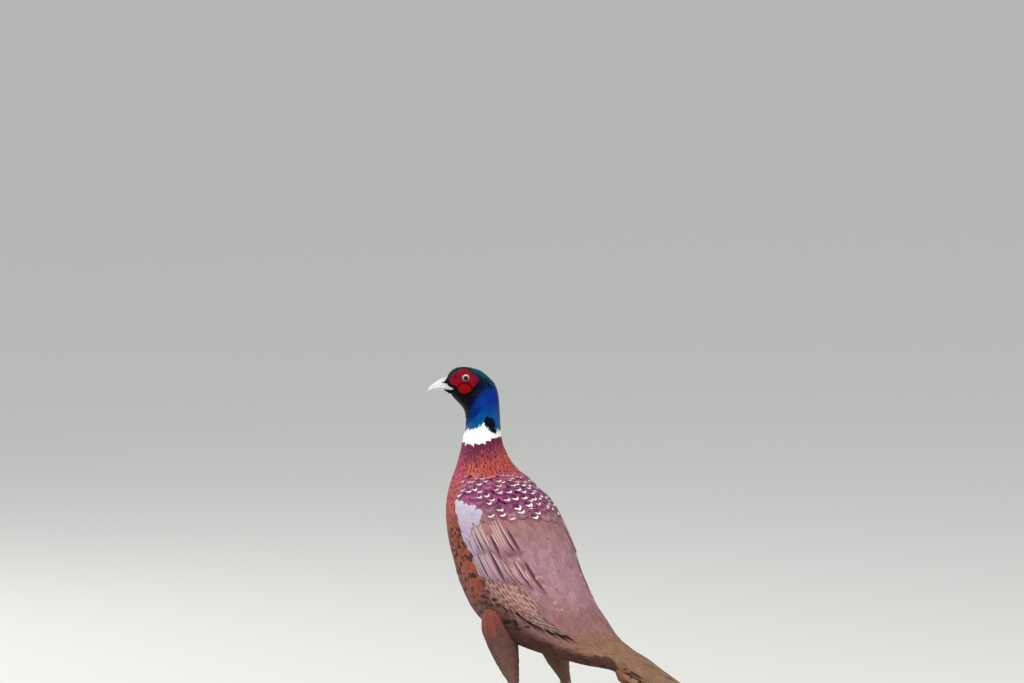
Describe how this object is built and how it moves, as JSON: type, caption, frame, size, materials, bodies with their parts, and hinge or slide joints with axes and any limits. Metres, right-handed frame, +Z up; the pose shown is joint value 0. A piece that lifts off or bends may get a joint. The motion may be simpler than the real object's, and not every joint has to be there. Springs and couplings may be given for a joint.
{
  "type": "common pheasant",
  "caption": "Life-size still model of a cock ring-necked pheasant standing alert with its head turned to its left and a long pointed tail held low behind.",
  "frame": {"origin": "on the floor, at the middle of the bottom of the part's bounding box", "axes": "+X is the way the body faces, with the tail along -X, +Y is the bird's left, +Z is up"},
  "size_m": [0.8416, 0.1344, 0.4642],
  "materials": {
    "glossy_neck_feather": "iridescent blue and green small feathers with a satin gloss",
    "white_collar_feather": "matt white small feathers",
    "copper_body_feather": "copper, chestnut and maroon body feathers with dark tips and cream marks",
    "wing_feather": "lavender grey coverts and barred brown flight feathers",
    "tail_feather": "buff olive tail feathers with narrow black bars",
    "red_facial_skin": "bare crimson skin with fine bumps",
    "pale_horn": "cream horn, smooth and a little glossy",
    "eye": "dark pupil in a pale yellow iris, wet gloss",
    "leg_scale": "grey-brown horny scales",
    "dark_claw": "dark horn"
  },
  "bodies": {
    "root": {"head": "glossy_neck_feather", "eye_left": "eye", "eye_right": "eye", "wattle_left": "red_facial_skin", "wattle_right": "red_facial_skin", "bill_upper": "pale_horn", "bill_lower": "pale_horn", "ear_tuft_left": "glossy_neck_feather", "ear_tuft_right": "glossy_neck_feather", "neck": "glossy_neck_feather", "collar": "white_collar_feather", "torso": "copper_body_feather", "wing_left": "wing_feather", "wing_right": "wing_feather", "tail": "tail_feather", "thigh_left": "copper_body_feather", "thigh_right": "copper_body_feather", "shank_left": "leg_scale", "shank_right": "leg_scale", "spur_left": "dark_claw", "spur_right": "dark_claw", "foot_left": "leg_scale", "foot_right": "leg_scale", "claw_middle_left": "dark_claw", "claw_middle_right": "dark_claw", "claw_inner_left": "dark_claw", "claw_inner_right": "dark_claw", "claw_outer_left": "dark_claw", "claw_outer_right": "dark_claw", "claw_hind_left": "dark_claw", "claw_hind_right": "dark_claw"}
  },
  "joints": []
}
